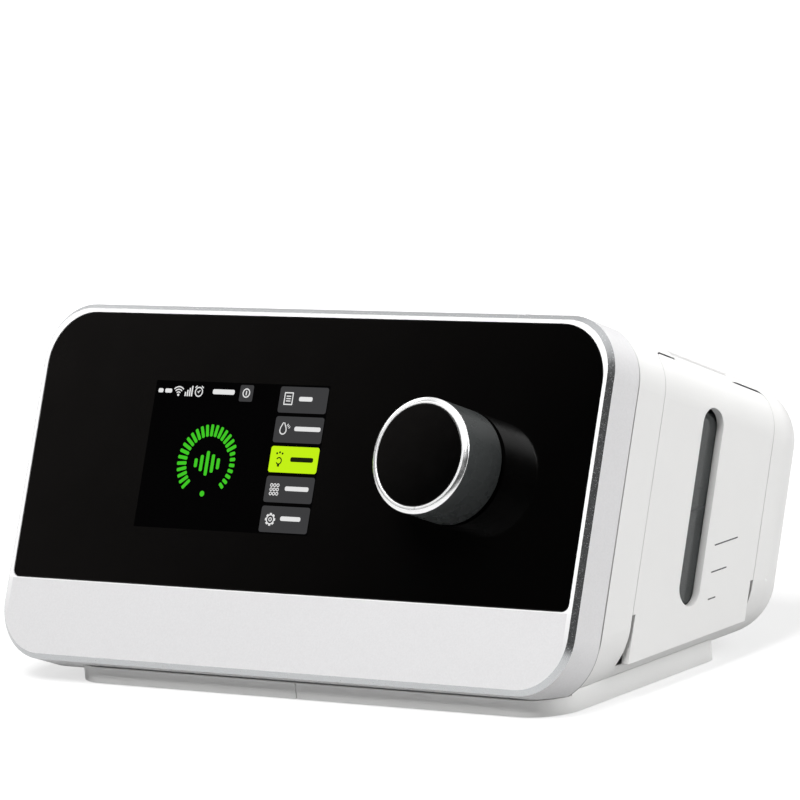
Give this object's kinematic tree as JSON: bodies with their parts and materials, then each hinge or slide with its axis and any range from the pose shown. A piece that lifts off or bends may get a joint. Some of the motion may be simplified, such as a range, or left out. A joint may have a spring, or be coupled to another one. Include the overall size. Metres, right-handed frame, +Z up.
{
  "type": "cpap machine with humidifier",
  "caption": "Bedside CPAP machine with a leaning black glass front, side display, turn-and-push knob, slide-out smoked water tank and a rear hose cone.",
  "frame": {"origin": "centre of the footprint of the bounding box, on the table under the rubber pads", "axes": "+X to the machine's right as its user faces the display, +Y to the rear, +Z up"},
  "size_m": [0.27, 0.1873, 0.1374],
  "materials": {
    "white_shell": "satin white",
    "silver_frame": "fine metallic satin",
    "black_gloss": "polished black",
    "knob_black": "satin dark",
    "knob_trim": "bright",
    "smoked_clear": "smoked transparent",
    "grey_foot": "satin grey",
    "grey_key": "satin grey",
    "inner_plastic": "matt dark grey",
    "rubber_dark": "matt",
    "silicone": "matt translucent grey",
    "steel": "brushed",
    "aluminium": "anodised",
    "board_green": "solder mask",
    "panel": "matt",
    "filter_felt": "felt",
    "card_blue": "matt"
  },
  "bodies": {
    "main_unit": {"air_outlet_port": "grey_foot", "base_left": "grey_foot", "base_right": "grey_foot", "base_screws": "steel", "bay_liner": "inner_plastic", "blower_duct": "silicone", "blower_elbow": "silicone", "blower_lower": "inner_plastic", "blower_mounts": "silicone", "blower_upper": "inner_plastic", "board_screws": "steel", "button_board": "board_green", "card_socket": "panel", "dc_socket": "panel", "display_module": "panel", "filter_pad": "filter_felt", "filter_tray": "inner_plastic", "front_bezel": "silver_frame", "front_board": "board_green", "front_glass": "black_gloss", "heater_insulator": "inner_plastic", "heater_plate": "aluminium", "heater_springs": "steel", "housing": "white_shell", "inlet_boot": "silicone", "inlet_silencer": "inner_plastic", "key_spring": "steel", "knob_encoder": "panel", "main_board": "board_green", "motor_bearings": "steel", "motor_can": "aluminium", "outlet_duct": "silicone", "port_seals": "silicone", "rubber_pads": "rubber_dark", "start_button_spring": "steel"},
    "water_tank": {"tank_tub": "smoked_clear", "tank_lid": "smoked_clear", "tank_gasket": "silicone", "tank_base_pan": "steel", "tank_end_cap": "white_shell"},
    "release_key": {"tank_release_key": "grey_key"},
    "knob_push": {"knob_plunger": "steel"},
    "knob": {"knob_shaft": "steel", "knob_barrel": "knob_black", "knob_trim_ring": "knob_trim", "knob_face_disc": "black_gloss"},
    "start_button": {"start_button": "silver_frame"},
    "filter_cover": {"filter_cover": "white_shell"},
    "memory_card": {"memory_card": "card_blue"},
    "blower_rotor": {"impeller": "white_shell", "motor_shaft": "steel", "motor_rotor": "steel"}
  },
  "joints": [
    {"name": "tank_slide", "type": "slide", "parent": "main_unit", "child": "water_tank", "axis": [1, 0, 0], "range_m": [0, 0.125]},
    {"name": "release_key_press", "type": "slide", "parent": "main_unit", "child": "release_key", "axis": [0, -0.3811, -0.9245], "range_m": [0, 0.002], "stiffness_N_per_m": 600, "springref_m": -0.001, "deforming": ["key_spring"]},
    {"name": "knob_push_in", "type": "slide", "parent": "main_unit", "child": "knob_push", "axis": [0, 0.9245, -0.3811], "range_m": [0, 0.0008], "stiffness_N_per_m": 2500, "springref_m": -0.0004},
    {"name": "knob_turn", "type": "hinge", "parent": "knob_push", "child": "knob", "pos_m": [0.072, -0.0636, 0.08493], "axis": [0, -0.9245, 0.3811], "continuous": true},
    {"name": "start_button_press", "type": "slide", "parent": "main_unit", "child": "start_button", "axis": [0, -0.3811, -0.9245], "range_m": [0, 0.001], "stiffness_N_per_m": 1500, "springref_m": -0.0005, "deforming": ["start_button_spring"]},
    {"name": "filter_cover_hinge", "type": "hinge", "parent": "main_unit", "child": "filter_cover", "pos_m": [-0.058, 0.05978, 0.03051], "axis": [-1, 0, 0], "range_deg": [0, 75]},
    {"name": "memory_card_slide", "type": "slide", "parent": "main_unit", "child": "memory_card", "axis": [0, 0.9245, -0.3811], "range_m": [0, 0.03]},
    {"name": "blower_spin", "type": "hinge", "parent": "main_unit", "child": "blower_rotor", "pos_m": [-0.058, -0.00265, 0.033], "axis": [0, 0, 1], "continuous": true}
  ]
}
